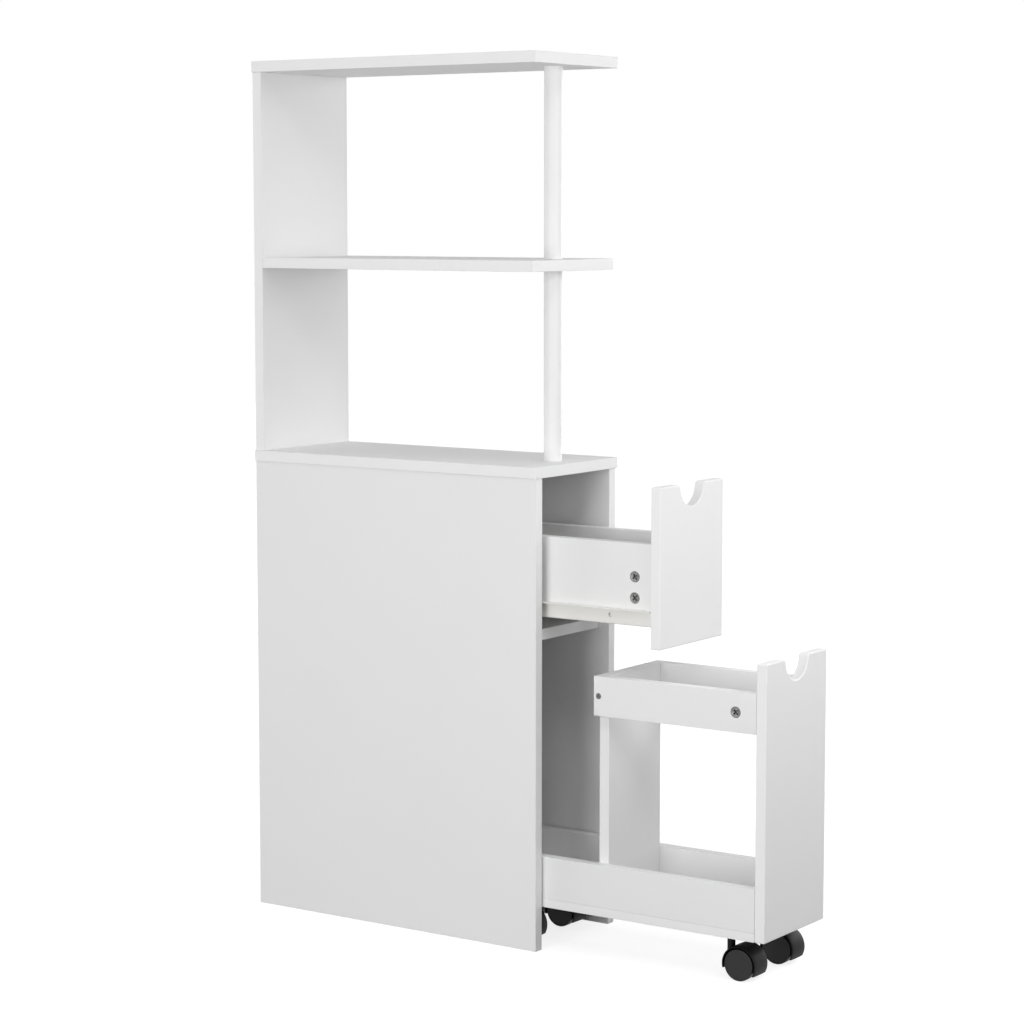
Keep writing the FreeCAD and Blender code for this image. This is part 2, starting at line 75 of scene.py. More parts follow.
# Heads of cam locks and screws, each a little below the board in a pocket slightly wider than itself
HEAD_PLAY = 0.2 * MM
HEAD_DROP = 0.3 * MM
HEAD_EASE = 0.3 * MM
POCKET_DEPTH = 5 * MM
POCKET_CELL_SHARE = 1.25
RIM_SHARE = 0.86
DISH_SHARE = 0.8
DISH_DEPTH = 0.25 * MM
CROSS_ARM_SHARE = 0.62
CROSS_SLOT_SHARE = 0.26
CROSS_DEPTH_SHARE = 0.5
CROSS_TURNS = (0.75, 0.6, 0.35, 1.1)

# Runners are folded from sheet
SHEET = 1 * MM
FOLD_RADIUS = 1.6 * MM
ACCESS_HOLE_RADIUS = 3.25 * MM
ACCESS_HOLE_INSET = 65 * MM
ACCESS_HOLE_DEPTH = 3 * MM
PIN_RADIUS = 2.5 * MM
PIN_GAP = 0.06 * MM
PIN_PROUD = 0.6 * MM
TYRE_EASE = 0.4 * MM

# Casters: the hood is a band over both wheels, open from the front round the bottom to the rear
HOOD_WALL = 2 * MM
HOOD_WEB = 11 * MM
HOOD_REAR = math.radians(-15)
HOOD_SWEEP = math.radians(226)
HOOD_CROWN_SHARES = ((1, 0.95), (0.93, 0.985), (0.4, 1))
WEB_LAP = 1 * MM
AXLE_DROP = 7.5 * MM
NECK_RADIUS = 5.3 * MM
NECK_FOOT = 6 * MM
NECK_EASE = 0.8 * MM
WHEEL_DISH = 0.5 * MM
WHEEL_EDGE = 1.2 * MM

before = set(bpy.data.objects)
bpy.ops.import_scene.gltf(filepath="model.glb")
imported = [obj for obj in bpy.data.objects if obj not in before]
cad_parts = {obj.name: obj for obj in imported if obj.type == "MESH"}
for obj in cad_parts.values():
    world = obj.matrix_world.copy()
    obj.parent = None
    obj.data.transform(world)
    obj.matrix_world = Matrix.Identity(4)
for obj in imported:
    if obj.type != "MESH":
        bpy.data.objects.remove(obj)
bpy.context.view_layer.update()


# Materials

def linear(code):
    """Linear colour from an sRGB hex value."""
    parts = [int(code[i:i + 2], 16) / 255 for i in (1, 3, 5)]
    return [p / 12.92 if p <= 0.04045 else ((p + 0.055) / 1.055) ** 2.4 for p in parts] + [1.0]


def per_mm(size):
    """Texture scale for features of a size given in millimetres."""
    return 1 / (size * MM)


def node(tree, kind, inputs=None, **settings):
    """Adds a node with its settings, and with values and links for its inputs."""
    made = tree.nodes.new("ShaderNode" + kind)
    for name, value in settings.items():
        setattr(made, name, value)
    for name, value in (inputs or {}).items():
        if isinstance(value, bpy.types.NodeSocket):
            tree.links.new(value, made.inputs[name])
        else:
            made.inputs[name].default_value = value
    return made


def new_finish(name):
    """An empty material, its node tree and the place on the piece in metres."""
    made = bpy.data.materials.new(name)
    made.use_nodes = True
    made.node_tree.nodes.clear()
    return made, made.node_tree, node(made.node_tree, "TexCoord").outputs["Object"]


def surface(tree, colours, tone, grain, roughness, relief, plain):
    """The shader of a finish: two tones mixed by one pattern, gloss and relief by another.

    colours are a dark and a light hex value, roughness a low and a high value and relief a height in
    millimetres. plain holds values that are the same all over, for the shader's own sockets.
    """
    dark, light = (linear(code) for code in colours)
    colour = node(tree, "Mix", {0: tone, 6: dark, 7: light}, data_type="RGBA")
    gloss = node(tree, "MapRange", {"Value": grain, "To Min": roughness[0], "To Max": roughness[1]})
    bump = node(tree, "Bump", {"Height": grain, "Strength": 1.0, "Distance": relief * MM})
    shader = node(tree, "BsdfPrincipled", {
        "Base Color": colour.outputs[2],
        "Roughness": gloss.outputs["Result"],
        "Normal": bump.outputs["Normal"],
        **plain,
    })
    node(tree, "OutputMaterial", {"Surface": shader.outputs["BSDF"]})


def pressed_or_coated(name, colours, cloud, grain, roughness, relief, ior):
    """A smooth coat: soft clouds of tone and a fine pearl, with sizes in millimetres."""
    made, tree, place = new_finish(name)
    clouds = node(tree, "TexNoise", {"Vector": place, "Scale": per_mm(cloud), "Detail": 2.0})
    fine = {"Scale": per_mm(grain), "Detail": 3.0, "Roughness": 0.6}
    pearl = node(tree, "TexNoise", {"Vector": place, **fine})
    surface(tree, colours, clouds.outputs["Fac"], pearl.outputs["Fac"], roughness, relief, {"IOR": ior})
    return made


def drawn_along(name, colours, along, width, length, roughness, relief, plain):
    """A surface with lines that run one way: fibres, grain or die marks, with sizes in millimetres."""
    made, tree, place = new_finish(name)
    stretch = [per_mm(length) if a else per_mm(width) for a in along]
    lined = node(tree, "Mapping", {"Vector": place, "Scale": stretch}, vector_type="POINT")
    lines = node(tree, "TexNoise", {"Vector": lined.outputs["Vector"], "Scale": 1.0, "Detail": 4.0})
    surface(tree, colours, lines.outputs["Fac"], lines.outputs["Fac"], roughness, relief, plain)
    return made


def cast(name, colours, crystal, pit, roughness, relief, plain):
    """A cast or moulded surface: cells of tone with a rough skin, with sizes in millimetres."""
    made, tree, place = new_finish(name)
    cells = node(tree, "TexVoronoi", {"Vector": place, "Scale": per_mm(crystal)}, feature="SMOOTH_F1")
    skin = node(tree, "TexNoise", {"Vector": place, "Scale": per_mm(pit), "Detail": 4.0})
    surface(tree, colours, cells.outputs["Distance"], skin.outputs["Fac"], roughness, relief, plain)
    return made


# Melamine paper pressed on chipboard against a satin plate: an even white with a soft, wide sheen. The pearl
# of the plate is finer than the picture can show, so it is drawn at 3 mm.
melamine = pressed_or_coated("satin_melamine", ("#EDEDED", "#F0F0F0"), cloud=160, grain=3.0,
                             roughness=(0.54, 0.62), relief=0.008, ior=1.5)
# Extruded ABS band glued round the boards: a shade whiter than the faces and a little glossier.
edging = pressed_or_coated("abs_edging", ("#F0F0F0", "#F3F3F3"), cloud=60, grain=2.5,
                           roughness=(0.48, 0.56), relief=0.004, ior=1.53)
# Vinyl foil drawn over the fronts and their edges: smooth, without a seam.
foil = pressed_or_coated("vinyl_foil", ("#F1F1F1", "#F4F4F4"), cloud=180, grain=4.0,
                         roughness=(0.52, 0.60), relief=0.006, ior=1.53)
# Powder coat on steel tube: a fine orange peel, drawn at 2 mm so that it shows.
powder = pressed_or_coated("powder_coat", ("#EDEDED", "#F0F0F0"), cloud=90, grain=2.0,
                           roughness=(0.42, 0.50), relief=0.01, ior=1.5)
# Cream stoving enamel on the runners: a touch warmer than the boards, with a wet, even gloss.
enamel = pressed_or_coated("stoving_enamel", ("#ECEBE7", "#F1F0EC"), cloud=50, grain=2.5,
                           roughness=(0.25, 0.33), relief=0.006, ior=1.5)
# White lacquer on hardboard: thin, so the pressed fibres still show as short faint strokes.
lacquer = drawn_along("lacquered_hardboard", ("#E6E6E3", "#EEEEEC"), along=(0, 0, 1), width=1.5, length=12,
                      roughness=(0.45, 0.6), relief=0.012, plain={"IOR": 1.5})
# Nylon turned and tumbled for the rollers: milky and slightly waxy.
white_nylon = pressed_or_coated("turned_nylon", ("#E7E7E1", "#EDEDE8"), cloud=10, grain=1.5,
                                roughness=(0.3, 0.4), relief=0.01, ior=1.53)
# Zinc die-cast for the lock and screw heads: grey, dull, with a frost of small crystals.
zinc = cast("die_cast_zinc", ("#545454", "#8E8E8D"), crystal=2.5, pit=0.8,
            roughness=(0.38, 0.6), relief=0.03, plain={"Metallic": 1.0})
# Black nylon moulded in a spark-eroded tool, for the hoods: a deep even black, dulled by a fine grain. Its
# colour is painted a shade darker than the wheels', which is painted shade where the hoods turn away from
# the left lamp.
shaded_hood_nylon = cast("moulded_shaded_black_nylon", ("#080809", "#0D0D0E"), crystal=18, pit=1.2,
                  roughness=(0.45, 0.58), relief=0.03, plain={"IOR": 1.53, "Specular IOR Level": 0.15})
# A harder nylon, for the wheels: turned smoother and a little glossier than the hoods. Its colour is painted
# a shade greyer, which is painted light on the discs that face the left lamp.
lit_wheel_nylon = cast("hard_lit_black_nylon", ("#101011", "#161617"), crystal=18, pit=1.2,
                   roughness=(0.42, 0.55), relief=0.02, plain={"IOR": 1.53, "Specular IOR Level": 0.3})
# Steel wire drawn through a die: fine bright lines along the wire.
steel = drawn_along("drawn_steel", ("#9A9A99", "#B6B6B4"), along=(1, 0, 0), width=0.6, length=20,
                    roughness=(0.22, 0.4), relief=0.006, plain={"Metallic": 1.0})
# Steel rod blackened in an oxide bath: nearly black, with an oily gloss along its length.
blackened = drawn_along("black_oxide_steel", ("#1E1E1F", "#2C2C2D"), along=(0, 0, 1), width=0.8, length=15,
                        roughness=(0.3, 0.45), relief=0.006, plain={"Metallic": 1.0})
# Beech dowel: pale pink-brown with short darker flecks.
beech = drawn_along("beech", ("#C79F70", "#DDBC92"), along=(1, 1, 1), width=0.9, length=6,
                    roughness=(0.5, 0.65), relief=0.03, plain={"IOR": 1.5})


# Making pieces

def piece(name, bm, body, finishes, replaced=()):
    """Turns a bmesh into an object that rides on a body and stands for its CAD nodes."""
    mesh = bpy.data.meshes.new(name)
    bm.to_mesh(mesh)
    bm.free()
    for finish in finishes:
        mesh.materials.append(finish)
    mesh.shade_smooth()
    mesh.set_sharp_from_angle(angle=SHARP_ANGLE)
    made = bpy.data.objects.new(name, mesh)
    bpy.context.scene.collection.objects.link(made)
    # Weighted by area, so that a board's broad faces shade flat up to their eased edges
    made.modifiers.new("flat_faces", "WEIGHTED_NORMAL").keep_sharp = True
    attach(made, body)
    if replaced:
        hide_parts(*replaced)


def of_kind(geom, kind):
    """The vertices, edges or faces in what an operator returns."""
    return [g for g in geom if isinstance(g, kind)]


def draw_out(bm, edges, way):
    """Extrudes open edges along a vector and returns the new ones."""
    made = bmesh.ops.extrude_edge_only(bm, edges=edges)["geom"]
    verts = set(of_kind(made, bmesh.types.BMVert))
    bmesh.ops.translate(bm, vec=way, verts=list(verts))
    return [e for e in of_kind(made, bmesh.types.BMEdge) if set(e.verts) <= verts]


def thicken(bm, way):
    """Draws every face of a flat shape out along a vector, to a closed solid."""
    made = bmesh.ops.extrude_face_region(bm, geom=bm.faces[:])["geom"]
    bmesh.ops.translate(bm, vec=way, verts=of_kind(made, bmesh.types.BMVert))
    bmesh.ops.recalc_face_normals(bm, faces=bm.faces)


def sharp_edges(bm):
    """The edges where two faces meet at a clear angle."""
    return [e for e in bm.edges if len(e.link_faces) == 2 and e.calc_face_angle() > SHARP_ANGLE]


def ease(bm, edges, width, segments=EASE_STEPS):
    """Rounds edges over, and takes out any sliver that this leaves."""
    bmesh.ops.bevel(bm, geom=edges, offset=width, offset_type="OFFSET", affect="EDGES", segments=segments,
                    profile=0.5, material=-1, clamp_overlap=True)
    bmesh.ops.dissolve_degenerate(bm, dist=WELD, edges=bm.edges)


def facing(normal):
    """A turn that takes +Z to a direction."""
    return Vector(normal).to_track_quat("Z", "Y").to_matrix().to_4x4()


def ring_of_edges(bm, centre, normal, radius):
    """An open circle round a point."""
    place = Matrix.Translation(centre) @ facing(normal)
    made = bmesh.ops.create_circle(bm, cap_ends=False, radius=radius, segments=CIRCLE_STEPS, matrix=place)
    return list({e for v in made["verts"] for e in v.link_edges})


def level_faces(bm, centre, normal):
    """The faces that lie in the plane through a point."""
    bm.normal_update()
    flat = [f for f in bm.faces if abs(f.normal.dot(normal)) > LEVEL_SHARE]
    return [f for f in flat if abs((f.calc_center_median() - centre).dot(normal)) < FLUSH]


def pierce(bm, centre, normal, radius):
    """Opens a round hole in a flat face and returns the edges of the hole."""
    half = radius * POCKET_CELL_SHARE
    across = [axis for axis in (X, Y, Z) if abs(axis.dot(normal)) < ACROSS_SHARE]
    for axis in across:
        for side in SIDES.values():
            faces = level_faces(bm, centre, normal)
            rims = {part for f in faces for part in (*f.edges, *f.verts)}
            spot = centre + axis * half * side
            bmesh.ops.bisect_plane(bm, geom=[*faces, *rims], dist=WELD, plane_co=spot, plane_no=axis)
    cell = {f for f in level_faces(bm, centre, normal)
            if all(abs((f.calc_center_median() - centre).dot(axis)) < half for axis in across)}
    border = [e for e in {e for f in cell for e in f.edges} if not cell.issuperset(e.link_faces)]
    bmesh.ops.delete(bm, geom=list(cell), context="FACES")
    hole = ring_of_edges(bm, centre, normal, radius)
    bmesh.ops.triangle_fill(bm, edges=border + hole, use_beauty=True, normal=normal)
    return hole


def turned(profile, centre, axis, steps, width=0.0):
    """A shape turned about an axis from a profile of (place along the axis, radius)."""
    bm = bmesh.new()
    verts = [bm.verts.new((r, 0, a)) for a, r in profile]
    edges = [bm.edges.new(pair) for pair in zip(verts, verts[1:])]
    bmesh.ops.spin(bm, geom=verts + edges, cent=(0, 0, 0), axis=Z, angle=2 * math.pi, steps=steps,
                   use_merge=True)
    bmesh.ops.remove_doubles(bm, verts=bm.verts, dist=WELD)
    bmesh.ops.recalc_face_normals(bm, faces=bm.faces)
    if width:
        ease(bm, sharp_edges(bm), width, TURNED_EASE_STEPS)
    bmesh.ops.transform(bm, matrix=Matrix.Translation(centre) @ facing(axis), verts=bm.verts)
    return bm


def merged(first, *others):
    """Adds the geometry of more bmeshes to the first."""
    for other in others:
        mesh = bpy.data.meshes.new("merged")
        other.to_mesh(mesh)
        other.free()
        first.from_mesh(mesh)
        bpy.data.meshes.remove(mesh)
    return first


# Cam locks and screws

def solids(name):
    """The box of each separate solid in a CAD node, in a fixed order."""
    bm = bmesh.new()
    bm.from_mesh(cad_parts[name].data)
    bmesh.ops.remove_doubles(bm, verts=bm.verts, dist=WELD)
    boxes = []
    waiting = set(bm.verts)
    while waiting:
        island = set()
        reached = {waiting.pop()}
        while reached:
            island |= reached
            reached = {e.other_vert(v) for v in reached for e in v.link_edges} - island
        waiting -= island
        low = Vector(min(v.co[i] for v in island) for i in range(3))
        high = Vector(max(v.co[i] for v in island) for i in range(3))
        boxes.append((low, high))
    bm.free()
    return sorted(boxes, key=lambda box: [round(c, 5) for c in box[0]])


def heads(fasteners, board_name):
    """Where a node's fasteners come flush with a face of a board: the point, the way out and the radius."""
    board_low, board_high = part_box(board_name)
    found = []
    for low, high in solids(fasteners):
        for i, axis in enumerate((X, Y, Z)):
            for end, face, side in ((low, board_low, -1), (high, board_high, 1)):
                point = (low + high) / 2
                point[i] = face[i]
                within = all(a - FLUSH < c < b + FLUSH for a, c, b in zip(board_low, point, board_high))
                if within and abs(end[i] - face[i]) < FLUSH:
                    radius = (high[i - 1] - low[i - 1]) / 2
                    found.append((point, axis * side, radius))
    return found


def cross_head(point, normal, radius, turn):
    """A die-cast head with a raised rim, a shallow dish and a cross slot for the driver."""
    radius -= HEAD_PLAY
    arm, half = radius * CROSS_ARM_SHARE, radius * CROSS_SLOT_SHARE / 2
    bm = bmesh.new()
    rim = ring_of_edges(bm, (0, 0, 0), Z, radius)
    foot = draw_out(bm, rim, Z * (HEAD_DROP - POCKET_DEPTH))
    bmesh.ops.contextual_create(bm, geom=foot)
    inner = rim
    for share, drop in ((RIM_SHARE, 0), (DISH_SHARE / RIM_SHARE, DISH_DEPTH)):
        inner = draw_out(bm, inner, Z * -drop)
        around = list({v for e in inner for v in e.verts})
        bmesh.ops.scale(bm, vec=(share, share, 1), verts=around)
    quarter = [(arm, -half), (arm, half), (half, half)]
    corners = [Matrix.Rotation(k * math.pi / 2, 3, "Z") @ Vector((x, y, -DISH_DEPTH))
               for k in range(4) for x, y in quarter]
    verts = [bm.verts.new(c) for c in corners]
    cross = [bm.edges.new(pair) for pair in zip(verts, verts[1:] + verts[:1])]
    bmesh.ops.triangle_fill(bm, edges=inner + cross, use_beauty=True, normal=Z)
    floor = draw_out(bm, cross, Z * -radius * CROSS_DEPTH_SHARE)
    bmesh.ops.contextual_create(bm, geom=floor)
    bmesh.ops.recalc_face_normals(bm, faces=bm.faces)
    ease(bm, rim, HEAD_EASE)
    spot = Matrix.Translation(point - normal * HEAD_DROP)
    bmesh.ops.transform(bm, matrix=spot @ facing(normal) @ Matrix.Rotation(turn, 4, "Z"), verts=bm.verts)
    return bm


def fitted_heads(fasteners, boards, body):
    """The heads of one node of locks or screws, as one piece."""
    spots = [head for name in boards for head in heads(fasteners, name)]
    shapes = [cross_head(*spot, CROSS_TURNS[i % len(CROSS_TURNS)]) for i, spot in enumerate(spots)]
    piece("shown_" + fasteners, merged(*shapes), body, [zinc], [fasteners])


# Boards and fronts

def board(name, body, fasteners=(), holes=(), width=BOARD_EASE, finishes=(melamine, edging)):
    """A board in the place of its CAD node, banded on its edges, with a pocket for each fastener's head.

    holes are more pockets, each with its mouth's centre, the way out, the radius and the depth.
    """
    low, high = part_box(name)
    size = high - low
    bm = bmesh.new()
    bmesh.ops.create_cube(bm, size=1)
    bmesh.ops.scale(bm, vec=size, verts=bm.verts)
    bmesh.ops.translate(bm, vec=(low + high) / 2, verts=bm.verts)
    ease(bm, bm.edges[:], width)
    pockets = [(*head, POCKET_DEPTH) for kind in fasteners for head in heads(kind, name)]
    for point, normal, radius, depth in [*pockets, *holes]:
        mouth = pierce(bm, point, normal, radius)
        floor = draw_out(bm, mouth, normal * -depth)
        bmesh.ops.contextual_create(bm, geom=floor)
    bmesh.ops.recalc_face_normals(bm, faces=bm.faces)
    thin = min(range(3), key=lambda i: size[i])
    for face in bm.faces:
        face.material_index = int(abs(face.normal[thin]) < BROAD_SHARE)
    piece("shown_" + name, bm, body, finishes, [name])


def notched_front(name, body):
    """A front panel with a finger notch, drawn as its right half and mirrored."""
    low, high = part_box(name)
    reach = NOTCH_RADIUS + NOTCH_CORNER
    corner_x = math.sqrt(reach ** 2 - NOTCH_CORNER ** 2)
    tilt = math.acos(NOTCH_CORNER / reach)
    bm = bmesh.new()
    outline = [(0, low.z), (high.x, low.z), (high.x, high.z), (corner_x, high.z)]
    corners = [bm.verts.new((x, low.y, z)) for x, z in outline]
    for pair in zip(corners, corners[1:]):
        bm.edges.new(pair)
    last = corners[-1]
    for centre, turn, steps in (
        ((corner_x, low.y, high.z - NOTCH_CORNER), -tilt, NOTCH_CORNER_STEPS),
        ((0, low.y, high.z), tilt, NOTCH_STEPS),
    ):
        spun = bmesh.ops.spin(bm, geom=[last], cent=centre, axis=Y, angle=turn, steps=steps)
        last = of_kind(spun["geom_last"], bmesh.types.BMVert)[0]
    bmesh.ops.contextual_create(bm, geom=bm.edges[:])
    whole = bm.verts[:] + bm.edges[:] + bm.faces[:]
    bmesh.ops.mirror(bm, geom=whole, matrix=Matrix.Identity(4), merge_dist=WELD, axis="X")
    bmesh.ops.dissolve_faces(bm, faces=bm.faces[:])
    thicken(bm, Y * (high.y - low.y))
    ease(bm, sharp_edges(bm), FRONT_EASE, FRONT_EASE_STEPS)
    piece("shown_" + name, bm, body, [foil], [name])


def post(name):
    """A powder-coated tube between two boards."""
    low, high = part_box(name)
    radius = (high.x - low.x) / 2
    foot = Vector(((low.x + high.x) / 2, (low.y + high.y) / 2, low.z))
    height, bore = high.z - low.z, radius - TUBE_WALL
    profile = [(0, bore), (0, radius), (height, radius), (height, bore), (0, bore)]
    tube = turned(profile, foot, Z, POST_STEPS, TUBE_EASE)
    piece("shown_" + name, tube, "cabinet", [powder], [name])


# Runners and rollers

def runner(name, body, path, hole=None):
    """A strip of sheet folded along Y. path runs along the middle of the sheet in X and Z."""
    low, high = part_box(name)
    bm = bmesh.new()
    line = [bm.verts.new((x, low.y, z)) for x, z in path]
    edges = [bm.edges.new(pair) for pair in zip(line, line[1:])]
    draw_out(bm, edges, Y * (high.y - low.y))
    ease(bm, [e for e in bm.edges if len(e.link_faces) == 2], FOLD_RADIUS, FOLD_STEPS)
    if hole:
        pierce(bm, hole, X, ACCESS_HOLE_RADIUS)
    bmesh.ops.recalc_face_normals(bm, faces=bm.faces)
    for vert in bm.verts:
        vert.co += vert.normal * vert.calc_shell_factor() * SHEET / 2
    bmesh.ops.solidify(bm, geom=bm.faces[:], thickness=SHEET)
    bmesh.ops.recalc_face_normals(bm, faces=bm.faces)
    piece("shown_" + name, bm, body, [enamel], [name])


def access_hole(name, side):
    """Where the hole in a drawer runner meets the board behind it."""
    runner_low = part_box("drawer_runner_" + name)[0]
    board_low, board_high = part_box("drawer_side_" + name)
    roller_low, roller_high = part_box("drawer_roller_" + name)
    face = board_high.x if side > 0 else board_low.x
    return Vector((face, runner_low.y + ACCESS_HOLE_INSET, (roller_low.z + roller_high.z) / 2))


def roller(owner, name, way):
    """A nylon roller on its rivet. way points from the runner's web towards the roller."""
    label = owner + "_roller_" + name
    low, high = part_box(label)
    centre = (low + high) / 2
    width, radius = high.x - low.x, (high.z - low.z) / 2
    bore, edge = PIN_RADIUS + PIN_GAP, radius - TYRE_EASE
    near = centre - X * way * width / 2
    profile = [(0, bore), (0, edge), (TYRE_EASE, radius), (width - TYRE_EASE, radius), (width, edge),
               (width, bore), (0, bore)]
    tyre = turned(profile, near, X * way, ROLLER_STEPS)
    piece("shown_" + label, tyre, label, [white_nylon], [label])
    length = width + 2 * PIN_PROUD
    pin = [(0, 0), (0, PIN_RADIUS), (length, PIN_RADIUS), (length, 0)]
    rivet = turned(pin, near - X * way * PIN_PROUD, X * way, RIVET_STEPS, RIVET_EASE)
    piece("roller_rivet_" + owner + "_" + name, rivet, owner, [steel])


# Casters

def hood(axle, stem, low, high):
    """A caster's hood: a crowned band over both wheels, a web between them and the stem's neck."""
    half, radius = (high.x - low.x) / 2, axle.y - low.y
    well = radius - HOOD_WALL
    crown = [(-x * half, r * radius) for x, r in HOOD_CROWN_SHARES]
    crown += [(-x, r) for x, r in reversed(crown)]
    start = Matrix.Rotation(HOOD_REAR, 4, "X")
    band = bmesh.new()
    outline = crown + [(half, well), (-half, well)]
    section = [band.verts.new(start @ Vector((x, r, 0))) for x, r in outline]
    edges = [band.edges.new(pair) for pair in zip(section, section[1:] + section[:1])]
    bmesh.ops.spin(band, geom=section + edges, cent=(0, 0, 0), axis=X, angle=HOOD_SWEEP, steps=BAND_STEPS)
    bmesh.ops.holes_fill(band, edges=[e for e in band.edges if e.is_boundary])
    bmesh.ops.recalc_face_normals(band, faces=band.faces)
    ease(band, sharp_edges(band), MOULDED_EASE)
    web = bmesh.new()
    first = web.verts.new(start @ Vector((-HOOD_WEB / 2, well + WEB_LAP, 0)))
    spun = bmesh.ops.spin(web, geom=[first], cent=(0, 0, 0), axis=X, angle=HOOD_SWEEP, steps=WEB_STEPS)
    last = of_kind(spun["geom_last"], bmesh.types.BMVert)[0]
    foot = web.verts.new((-HOOD_WEB / 2, 0, -AXLE_DROP))
    web.edges.new((last, foot))
    web.edges.new((foot, first))
    bmesh.ops.contextual_create(web, geom=web.edges[:])
    thicken(web, X * HOOD_WEB)
    ease(web, sharp_edges(web), MOULDED_EASE)
    top = high.z - axle.z
    neck_line = [(NECK_FOOT, 0), (NECK_FOOT, NECK_RADIUS), (top, NECK_RADIUS), (top, 0)]
    neck = turned(neck_line, (0, stem.y - axle.y, 0), Z, NECK_STEPS, NECK_EASE)
    whole = merged(band, web, neck)
    bmesh.ops.translate(whole, vec=axle, verts=whole.verts)
    return whole


def wheel(name, axle):
    """One wheel of a twin caster: a tread, a rounded shoulder and a shallow closed disc on the outside."""
    low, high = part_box(name)
    width, radius = high.x - low.x, (high.z - low.z) / 2
    side = math.copysign(1, (low.x + high.x) / 2 - axle.x)
    near = Vector((low.x if side > 0 else high.x, axle.y, axle.z))
    rim, disc = width - WHEEL_EDGE, radius - 2 * WHEEL_EDGE
    profile = [(0, 0), (0, radius - MOULDED_EASE), (MOULDED_EASE, radius), (rim, radius)]
    for k in range(SHOULDER_STEPS):
        angle = (k + 1) / SHOULDER_STEPS * math.pi / 2
        profile.append((rim + WHEEL_EDGE * math.sin(angle), radius - WHEEL_EDGE * (1 - math.cos(angle))))
    profile += [(width, disc), (width - WHEEL_DISH, disc - WHEEL_DISH), (width - WHEEL_DISH, 0)]
    return turned(profile, near, X * side, WHEEL_STEPS)


def caster(label):
    """A hood that swivels under the cart, with a wheel on each end of its axle."""
    axle_low, axle_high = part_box("caster_axle_" + label)
    axle = (axle_low + axle_high) / 2
    hood_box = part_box("caster_hood_" + label)
    stems = [(low + high) / 2 for low, high in solids("caster_stems")]
    stem = min(stems, key=lambda place: (place - axle).length)
    body = "caster_" + label
    shell = hood(axle, stem, *hood_box)
    piece("shown_hood_" + label, shell, body, [shaded_hood_nylon], ["caster_hood_" + label])
    for side in SIDES:
        name = "caster_wheel_" + label + "_" + side
        piece("shown_" + name, wheel(name, axle), name, [lit_wheel_nylon], [name])


# Cabinet
LOCKED_BOARDS = ("side_panel_left", "side_panel_right", "rack_back_board")
for name in LOCKED_BOARDS:
    board(name, "cabinet", ("cabinet_cam_locks", "cabinet_screws"))
for name in ("counter_top", "front_stretcher", "middle_shelf", "top_shelf"):
    board(name, "cabinet")
board("base_back_panel", "cabinet", width=PANEL_EASE, finishes=(lacquer, lacquer))
fitted_heads("cabinet_cam_locks", LOCKED_BOARDS, "cabinet")
fitted_heads("cabinet_screws", ("rack_back_board",), "cabinet")
post("lower_post")
post("upper_post")

# Drawer
notched_front("drawer_front", "drawer")
for name, side in SIDES.items():
    hole = (access_hole(name, side), X * side, ACCESS_HOLE_RADIUS, ACCESS_HOLE_DEPTH)
    board("drawer_side_" + name, "drawer", ("drawer_cam_locks",), [hole])
board("drawer_back", "drawer")
board("drawer_bottom", "drawer", width=PANEL_EASE, finishes=(lacquer, lacquer))
fitted_heads("drawer_cam_locks", ("drawer_side_left", "drawer_side_right"), "drawer")

# Runners: the cabinet's are channels, the drawer's run under its sides and turn out at the top
for name, side in SIDES.items():
    low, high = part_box("cabinet_runner_" + name)
    near, far = (low.x, high.x) if side > 0 else (high.x, low.x)
    web, floor, roof = far - side * SHEET / 2, low.z + SHEET / 2, high.z - SHEET / 2
    channel = [(near, floor), (web, floor), (web, roof), (near, roof)]
    runner("cabinet_runner_" + name, "cabinet", channel)
    low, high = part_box("drawer_runner_" + name)
    lip, reach = (low.x, high.x) if side > 0 else (high.x, low.x)
    hole = access_hole(name, side) + X * side * SHEET / 2
    web, floor, roof = hole.x, low.z + SHEET / 2, high.z - SHEET / 2
    folds = [(lip, floor), (web, floor), (web, roof), (reach, roof)]
    runner("drawer_runner_" + name, "drawer", folds, hole)
    roller("cabinet", name, -side)
    roller("drawer", name, side)

# Cart
notched_front("cart_front", "cart")
for name in ("cart_bottom", "cart_divider", "cart_back"):
    board(name, "cart")
CART_RAILS = [height + side for side in SIDES for height in ("cart_upper_rail_", "cart_lower_rail_")]
for name in CART_RAILS:
    board(name, "cart", ("cart_cam_locks", "cart_screws"))
fitted_heads("cart_cam_locks", CART_RAILS, "cart")
fitted_heads("cart_screws", CART_RAILS, "cart")
for end in ("front", "rear"):
    for side in SIDES:
        caster(end + "_" + side)

# Pieces whose CAD shape is right, mostly out of sight inside the boards
for name, finish in (
    ("cabinet_cam_bolts", zinc), ("drawer_cam_bolts", zinc), ("cart_cam_bolts", zinc),
    ("cabinet_dowels", beech), ("drawer_dowels", beech), ("cart_dowels", beech),
    ("post_tie_rod", steel), ("caster_stems", blackened),
    ("caster_axle_front_left", steel), ("caster_axle_front_right", steel),
    ("caster_axle_rear_left", steel), ("caster_axle_rear_right", steel),
):
    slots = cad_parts[name].data.materials
    slots.clear()
    slots.append(finish)


# Studio
FLOOR_HALF = 8
FLOOR_SHADE = "#A0A0A0"
FLOOR_GLOW = 0.82
GLOW_NEAR = 0.5
GLOW_FAR = 2.5
AMBIENT = 0.2
MIDDLE = (0, 0, 0.6)
FRONTS = (0, -0.3, 0.6)


def lamp(name, place, aim, size, power):
    """A soft box: a square of light that looks at a point."""
    data = bpy.data.lights.new(name, "AREA")
    data.size, data.energy = size, power
    made = bpy.data.objects.new(name, data)
    made.location = place
    made.rotation_mode = "QUATERNION"
    made.rotation_quaternion = (Vector(aim) - Vector(place)).to_track_quat("-Z", "Y")
    made.visible_camera = False
    bpy.context.scene.collection.objects.link(made)


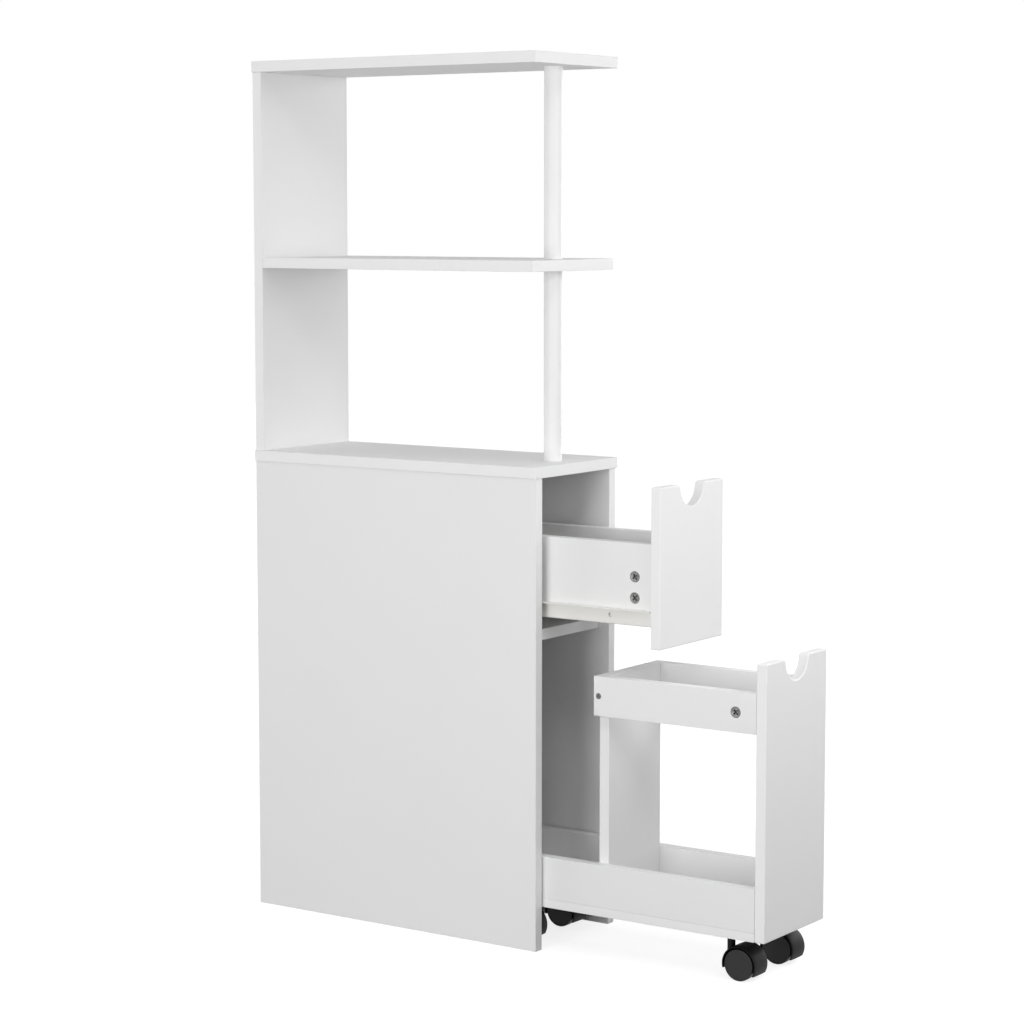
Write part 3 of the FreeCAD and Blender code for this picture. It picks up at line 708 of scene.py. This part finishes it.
def seen_directly(tree):
    """1 for the rays that show the backdrop itself: to the camera, in gloss and through glass."""
    path = node(tree, "LightPath")
    rays = path.outputs["Is Camera Ray"]
    for other in ("Is Glossy Ray", "Is Transmission Ray"):
        rays = node(tree, "Math", {0: rays, 1: path.outputs[other]}, operation="MAXIMUM").outputs[0]
    return rays


# Matt paper floor: a glow that lights nothing lifts it to white, and its own shade keeps the shadow
floor_bm = bmesh.new()
bmesh.ops.create_grid(floor_bm, x_segments=1, y_segments=1, size=FLOOR_HALF)
floor_mesh = bpy.data.meshes.new("studio_floor")
floor_bm.to_mesh(floor_mesh)
floor_bm.free()
floor = bpy.data.objects.new("studio_floor", floor_mesh)
bpy.context.scene.collection.objects.link(floor)
paper, tree, place = new_finish("matt_paper")
matte = node(tree, "BsdfDiffuse", {"Color": linear(FLOOR_SHADE)})
far_off = node(tree, "VectorMath", {0: place}, operation="LENGTH").outputs["Value"]
reach = {"From Min": GLOW_NEAR, "From Max": GLOW_FAR, "To Min": FLOOR_GLOW, "To Max": 1.0}
whiteness = node(tree, "MapRange", {"Value": far_off, **reach}).outputs["Result"]
glow_level = node(tree, "Math", {0: seen_directly(tree), 1: whiteness}, operation="MULTIPLY")
glow = node(tree, "Emission", {"Strength": glow_level.outputs[0]})
lifted = node(tree, "AddShader", {0: matte.outputs[0], 1: glow.outputs[0]})
node(tree, "OutputMaterial", {"Surface": lifted.outputs[0]})
floor_mesh.materials.append(paper)

world = bpy.data.worlds.new("studio")
world.use_nodes = True
bpy.context.scene.world = world
tree = world.node_tree
tree.nodes.clear()
level = node(tree, "MapRange", {"Value": seen_directly(tree), "To Min": AMBIENT, "To Max": 1.0})
sky = node(tree, "Background", {"Color": linear("#FFFFFF"), "Strength": level.outputs["Result"]})
node(tree, "OutputWorld", {"Surface": sky.outputs[0]})

# A high key from the left throws the shelves' shadows on the back board, and a top box fills the shelves. A
# low box lights the left side and two near ones the fronts. Two on the far sides keep these as plain as the
# near ones.
lamp("key", place=(-2.6, -1.9, 3.5), aim=MIDDLE, size=1.0, power=20)
lamp("top", place=(-0.5, -0.3, 2.6), aim=MIDDLE, size=1.0, power=2.5)
lamp("left", place=(-3.0, -0.1, 0.8), aim=(0, 0, 0.5), size=1.5, power=41)
lamp("near_front", place=(-0.45, -1.1, 1.0), aim=(0, -0.3, 0.5), size=0.5, power=2.5)
lamp("high_front", place=(0.2, -1.3, 1.2), aim=FRONTS, size=0.8, power=6.6)
lamp("right", place=(3.1, -0.7, 1.2), aim=MIDDLE, size=2.0, power=45)
lamp("rear", place=(-0.4, 3.2, 1.2), aim=MIDDLE, size=2.0, power=45)

# Camera: found from the cabinet's corners in the photograph, where the lens is 2778 pixels long in a frame
# of 1024. It has no shift, so that other views stay centred.
SENSOR = 36
FRAME_PIXELS = 1024
LENS_PIXELS = 2778.1
CAMERA_PLACE = (-3.1234, -2.1198, 0.9923)
CAMERA_YAW = math.radians(55.378)
CAMERA_TILT = math.radians(6.185)
camera_data = bpy.data.cameras.new("camera")
camera_data.sensor_width = SENSOR
camera_data.lens = LENS_PIXELS * SENSOR / FRAME_PIXELS
camera = bpy.data.objects.new("camera", camera_data)
camera.location = CAMERA_PLACE
level_aim = Vector((math.sin(CAMERA_YAW), math.cos(CAMERA_YAW), 0))
aim = level_aim * math.cos(CAMERA_TILT) - Z * math.sin(CAMERA_TILT)
camera.rotation_mode = "QUATERNION"
camera.rotation_quaternion = aim.to_track_quat("-Z", "Y")
bpy.context.scene.collection.objects.link(camera)
bpy.context.scene.camera = camera
bpy.context.scene.view_settings.view_transform = "Standard"
